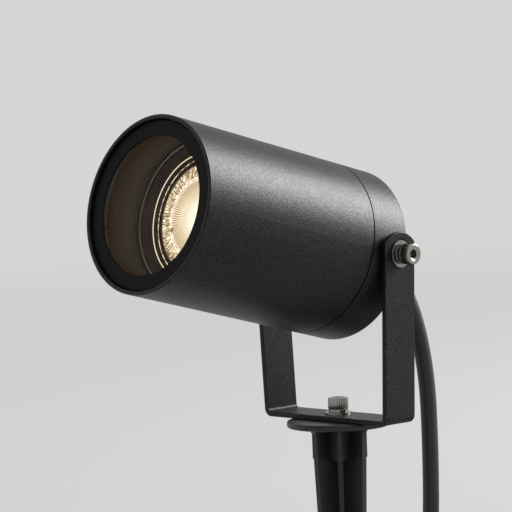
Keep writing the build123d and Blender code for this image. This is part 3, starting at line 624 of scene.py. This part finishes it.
def makeFasteners():
    pivotScrew = closePiece(makeScrew("pivotScrewNear", screw["pivotLength"]), Matrix.Identity(4))
    pivotSpring = makeSpring("pivotSpringNear", spring["free"], spring["freeThick"])
    closePiece(pivotSpring, Matrix.Identity(4))
    screws, springs = [], []
    for side in (1, -1):
        screwSpot = Vector((side * screw["pivotSeat"], 0, head["pivot"].z))
        springSpot = Vector((side * spring["pivotSeat"], 0, head["pivot"].z))
        screws.append(copyPiece(pivotScrew, "pivotScrew", facing(screwSpot, (side, 0, 0))))
        springs.append(copyPiece(pivotSpring, "pivotSpring", facing(springSpot, (side, 0, 0))))
    for sample in (pivotScrew, pivotSpring):
        bpy.data.objects.remove(sample)
    dress(joinPieces("pivotScrewPair", screws), "head", "stainless", "pivot_screws")
    dress(joinPieces("pivotSpringPair", springs), "head", "stainless", "pivot_spring_washers")
    lift = Matrix.Translation((0, 0, screw["baseSeat"]))
    dress(closePiece(makeScrew("baseSocketScrew", screw["baseLength"]), lift), "spike", "stainless", "base_screw")
    lift = Matrix.Translation((0, 0, spring["baseSeat"]))
    baseSpring = makeSpring("baseSpring", spring["flat"], spring["flatThick"])
    dress(closePiece(baseSpring, lift), "spike", "stainless", "base_spring_washer")


makeFasteners()
print("screws and spring washers made")

# The lamp's lens with its prisms, beads and flutes


def makeLens():
    piece = startPiece(
        "lensPrisms", bpy.ops.mesh.primitive_circle_add,
        vertices=lens["sides"], radius=lens["radius"], fill_type="NGON", location=(0, 0, lens["back"]),
    )
    bpy.ops.mesh.extrude_region_move(TRANSFORM_OT_translate={"value": (0, 0, lens["front"] - lens["back"])})
    rings = lens["rings"]
    half = math.cos(math.pi / lens["sides"])
    for outer, inner in zip(rings, rings[1:]):
        rise = lens["crown"] * (outer ** 2 - inner ** 2) / lens["radius"] ** 2
        bpy.ops.mesh.inset(thickness=(outer - inner) * half, depth=rise)
    bpy.ops.mesh.extrude_region_move(TRANSFORM_OT_translate={"value": (0, 0, -lens["spotDepth"])})

    def between(limits):
        low, high = limits

        def test(face):
            middle = face.calc_center_median()
            return middle.z > lens["front"] and low < middle.xy.length < high
        return test

    for zone, wall, rise in (("prisms", "prismWall", "prismRise"), ("flutes", "fluteWall", "fluteRise")):
        pick(piece, "FACE", between(lens[zone]))
        bpy.ops.mesh.inset(use_individual=True, thickness=lens[wall], depth=lens[rise])
    for limits in lens["beads"]:
        pick(piece, "FACE", between(limits))
        bpy.ops.mesh.inset(thickness=lens["beadWall"], depth=lens["beadRise"])
    return closePiece(piece, toBeam, 20)


dress(makeLens(), "head", "lamp_lens", "lamp_lens")
print("lens made")

# The front ring: its opening is a thin lip, cut away behind.

frontRing = {
    "opening": 0.0232, "behind": 0.0254, "outer": 0.0283, "back": 0.0833, "front": 0.0857,
    "lip": 0.0006, "edge": 0.00025, "sides": 160,
}


def makeFrontRing():
    edge, front, back = frontRing["edge"], frontRing["front"], frontRing["back"]
    outline = [
        (frontRing["behind"], back), (frontRing["outer"], back), (frontRing["outer"], front - edge),
        (frontRing["outer"] - edge, front), (frontRing["opening"] + edge, front), (frontRing["opening"], front - edge),
        (frontRing["opening"], front - frontRing["lip"]),
    ]
    return closePiece(spunPiece("frontRingTurned", outline, frontRing["sides"]), toBeam)


dress(makeFrontRing(), "tube", "black_ring", "front_ring")
print("front ring made")

# The lamp's stepped bezel with its beads, which glow as painted highlights on its edges, the ring round its rim, and
# the tube's matt lining, which carries a painted glow of the lamp's light

centring = {"inner": 0.0251, "outer": 0.0267, "back": 0.0625, "front": 0.0662, "edge": 0.0003, "sides": 128}
lining = {"outer": 0.02699, "inner": 0.02688, "back": 0.0226, "front": 0.0802, "sides": 128}


def makeBezel():
    (wide, high), (narrow, low) = bezel["steps"]
    edge = bezel["edge"]
    outline = [
        (bezel["inner"], bezel["back"]), (bezel["outer"], bezel["back"]), (bezel["outer"], bezel["front"]),
        (bezel["outer"] - edge, bezel["front"]), (wide + edge, high), (wide, high),
        (narrow + edge, low), (narrow, low), (bezel["inner"], low - edge),
    ]
    dress(closePiece(spunPiece("bezelCone", outline, bezel["sides"]), toBeam), "head", "lamp_plastic", "lamp_bezel")
    beads = []
    for radius, height, size in bezel["beads"]:
        ring = [(radius + size * math.cos(angle), height + size * math.sin(angle))
                for angle in (2 * math.pi * step / bezel["beadSides"] for step in range(bezel["beadSides"]))]
        beads.append(closePiece(spunPiece("bezelBead", ring, bezel["sides"]), toBeam, 60))
    # the beads glow: painted highlights on the bezel's edges
    dress(joinPieces("bezelHighlightBeads", beads), "head", "lamp_chrome", look=paintedEdgeHighlights())


def makeLining():
    outline = [(lining["inner"], lining["back"]), (lining["outer"], lining["back"]),
               (lining["outer"], lining["front"]), (lining["inner"], lining["front"])]
    piece = closePiece(spunPiece("glowLining", outline, lining["sides"]), toBeam, 60)
    # the lining carries the painted glow of the lamp's light on the bore
    dress(piece, "tube", "powder_coat", look=boreWithPaintedGlow())


def makeCentringRing():  # soft ring that keeps the lamp's rim in the middle of the bore
    edge = centring["edge"]
    outline = [(centring["inner"], centring["back"]), (centring["outer"], centring["back"]),
               (centring["outer"], centring["front"] - edge), (centring["outer"] - edge, centring["front"]),
               (centring["inner"], centring["front"])]
    dress(closePiece(spunPiece("lampCentringRing", outline, centring["sides"]), toBeam), "head", "lamp_plastic")


makeBezel()
makeLining()
makeCentringRing()
print("bezel and lining made")

# The gland's domed nut

glandNut = {  # stations are behind the pivot, so below zero
    "bore": 0.00312, "front": -0.0097, "seat": -0.0123, "back": -0.0164, "radius": 0.0072, "mouth": 0.0046,
    "edge": 0.0003, "domeSteps": 6, "ribs": 24, "ribDepth": 0.00028, "ribWall": 0.00022, "sides": 96,
}


def makeGlandNut():
    wide, mouth, bore, edge = glandNut["radius"], glandNut["mouth"], glandNut["bore"], glandNut["edge"]
    seat, back, front = glandNut["seat"], glandNut["back"], glandNut["front"]
    steps = glandNut["domeSteps"]
    dome = [(mouth + (wide - mouth) * math.cos(angle), seat + (back - seat) * math.sin(angle))
            for angle in (math.pi / 2 * step / steps for step in range(steps + 1))]
    outline = [(bore, front), (wide - edge, front), (wide, front - edge), *dome, (bore + edge, back), (bore, back + edge)]
    piece = spunPiece("glandDomeNut", outline, glandNut["sides"])
    pick(piece, "FACE", lambda face: seat < face.calc_center_median().z < front - edge
         and face.calc_center_median().xy.length > wide * 0.98
         and sectorShare(face, glandNut["ribs"]) < 0.5)
    bpy.ops.mesh.inset(thickness=glandNut["ribWall"], depth=-glandNut["ribDepth"])
    return closePiece(piece, toBeam, 30)


dress(makeGlandNut(), "head", "gland_plastic", "gland_nut")
print("gland nut made")

# The plug's ribbed boot and grip

plug = {
    "start": Vector((0.0281, -0.0098, 0.009)), "direction": (-0.209529, -0.977802, 0),
    "mouth": 0.0039, "mouthEdge": 0.0004, "bootEnd": 0.0054, "bootLength": 0.016,
    "slots": 4, "firstSlot": 0.6, "slotWidth": 0.0014, "slotDepth": 0.0007, "slotSlope": 0.0002,
    "grip": 0.0074, "end": 0.036, "edge": 0.0012, "edgeSteps": 5,
    "flutes": 12, "fluteShare": 0.55, "fluteDepth": 0.0005, "fluteWall": 0.0004, "plainBack": 0.004, "plainFront": 0.002,
    "sides": 96,
}


def makePlugGrip():
    mouth, grip, edge, end = plug["mouth"], plug["grip"], plug["edge"], plug["end"]
    step, steps = plug["bootLength"], plug["edgeSteps"]
    fluteStart, fluteEnd = step + plug["plainBack"], end - plug["plainFront"]
    rise = (plug["bootEnd"] - mouth) / step
    pitch = step / (plug["slots"] + 1)
    width, depth, slope = plug["slotWidth"], plug["slotDepth"], plug["slotSlope"]
    outline = [(0, 0), (mouth - plug["mouthEdge"], 0), (mouth, plug["mouthEdge"])]
    for slot in range(plug["slots"]):
        start = pitch * (slot + plug["firstSlot"])
        for along, drop in ((0, 0), (slope, depth), (width - slope, depth), (width, 0)):
            outline.append((mouth + rise * (start + along) - drop, start + along))
    corner = [(grip - edge * (1 - math.sin(angle)), step + edge * (1 - math.cos(angle)))
              for angle in (math.pi / 2 * part / steps for part in range(steps + 1))]
    outline += [(plug["bootEnd"], step), *corner, (grip, fluteStart), (grip, fluteEnd), (grip, end), (0, end)]
    piece = spunPiece("plugGripBody", outline, plug["sides"])
    pick(piece, "FACE", lambda face: fluteStart < face.calc_center_median().z < fluteEnd
         and face.calc_center_median().xy.length > grip * 0.9
         and sectorShare(face, plug["flutes"]) < plug["fluteShare"])
    bpy.ops.mesh.inset(thickness=plug["fluteWall"], depth=-plug["fluteDepth"])
    return closePiece(piece, facing(plug["start"], plug["direction"]), 30)


plugGrip = makePlugGrip()
dress(plugGrip, "bracket", "plug_plastic", "plug_grip")
print("plug grip made")

# The lead takes the place of the cord's nodes, which are hidden.

dress(leadPiece, None, "cord_rubber", "cord_run", "cord_coil", "cord_tail")
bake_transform(leadPiece)

# Floor, backdrop and lights

studio = {
    "floorSize": 12.0, "floorAlbedo": "#686868", "floorSeen": 0.46, "backdrop": "#d6d6d5", "worldLight": 0.7,
    "fade": (0.5, 2.5),  # metres from the object between which the floor goes over into the backdrop
    "lamps": [  # name, direction from the object, distance, width, watts
        ("keySoftbox", (0.316, 0.821, 0.475), 1.3, 0.6, 27.0),
        ("fillSoftbox", (-0.75, -0.55, 0.45), 1.8, 1.2, 1.0),
        ("frontSoftbox", (0.55, -0.65, 0.75), 1.9, 1.0, 1.0),
    ],
    "aim": Vector((0, -0.01, 0.10)),
}


def seenDirectly(tree):  # 1 for rays from the camera, off gloss or through glass
    path = addNode(tree, "ShaderNodeLightPath").outputs
    seen = reckon(tree, "MAXIMUM", path["Is Camera Ray"], path["Is Glossy Ray"])
    return reckon(tree, "MAXIMUM", seen, path["Is Transmission Ray"])


def floorMaterial():
    # Pale matt studio paper: dim as a reflector, lifted to the backdrop's level where it is seen, and fading into it.
    material = bpy.data.materials.new("paleFloor")
    material.use_nodes = True
    tree = material.node_tree
    tree.nodes.clear()
    place = addNode(tree, "ShaderNodeTexCoord").outputs["Object"]
    paper = addNode(tree, "ShaderNodeBsdfDiffuse", {"Color": linear(studio["floorAlbedo"])})
    lift = reckon(tree, "MULTIPLY", seenDirectly(tree), studio["floorSeen"])
    shine = addNode(tree, "ShaderNodeEmission", {"Color": (1, 1, 1, 1)}, {"Strength": lift})
    near = addNode(tree, "ShaderNodeAddShader", None, {0: paper.outputs[0], 1: shine.outputs[0]})
    far = addNode(tree, "ShaderNodeEmission", {"Color": linear(studio["backdrop"])}, {"Strength": seenDirectly(tree)})
    low, high = studio["fade"]
    share = spread(tree, reckonVector(tree, "LENGTH", place), 0.0, 1.0, **{
        "interpolation_type": "SMOOTHSTEP", "From Min": low, "From Max": high,
    })
    both = addNode(tree, "ShaderNodeMixShader", None, {0: share, 1: near.outputs[0], 2: far.outputs[0]})
    addNode(tree, "ShaderNodeOutputMaterial", None, {"Surface": both.outputs[0]})
    return material


def makeWorld():
    world = bpy.data.worlds.new("paleStudio")
    bpy.context.scene.world = world
    world.use_nodes = True
    tree = world.node_tree
    tree.nodes.clear()
    dim = addNode(tree, "ShaderNodeBackground", {"Color": (1, 1, 1, 1), "Strength": studio["worldLight"]})
    pale = addNode(tree, "ShaderNodeBackground", {"Color": linear(studio["backdrop"]), "Strength": 1.0})
    both = addNode(tree, "ShaderNodeMixShader", None, {0: seenDirectly(tree), 1: dim.outputs[0], 2: pale.outputs[0]})
    addNode(tree, "ShaderNodeOutputWorld", None, {"Surface": both.outputs[0]})


def makeStudio():
    bpy.ops.object.select_all(action="DESELECT")
    bpy.ops.mesh.primitive_circle_add(vertices=96, radius=studio["floorSize"], fill_type="NGON")
    ground = bpy.context.object
    ground.name = "floor"
    ground.data.materials.append(floorMaterial())
    for name, direction, distance, width, power in studio["lamps"]:
        data = bpy.data.lights.new(name, "AREA")
        data.shape = "SQUARE"
        data.size = width
        data.energy = power
        softbox = bpy.data.objects.new(name, data)
        bpy.context.scene.collection.objects.link(softbox)
        away = Vector(direction).normalized()
        softbox.location = studio["aim"] + away * distance
        softbox.rotation_mode = "QUATERNION"
        softbox.rotation_quaternion = away.to_track_quat("Z", "Y")
    makeWorld()
    bpy.context.scene.view_settings.view_transform = "Standard"


makeStudio()
print("floor and lights placed")
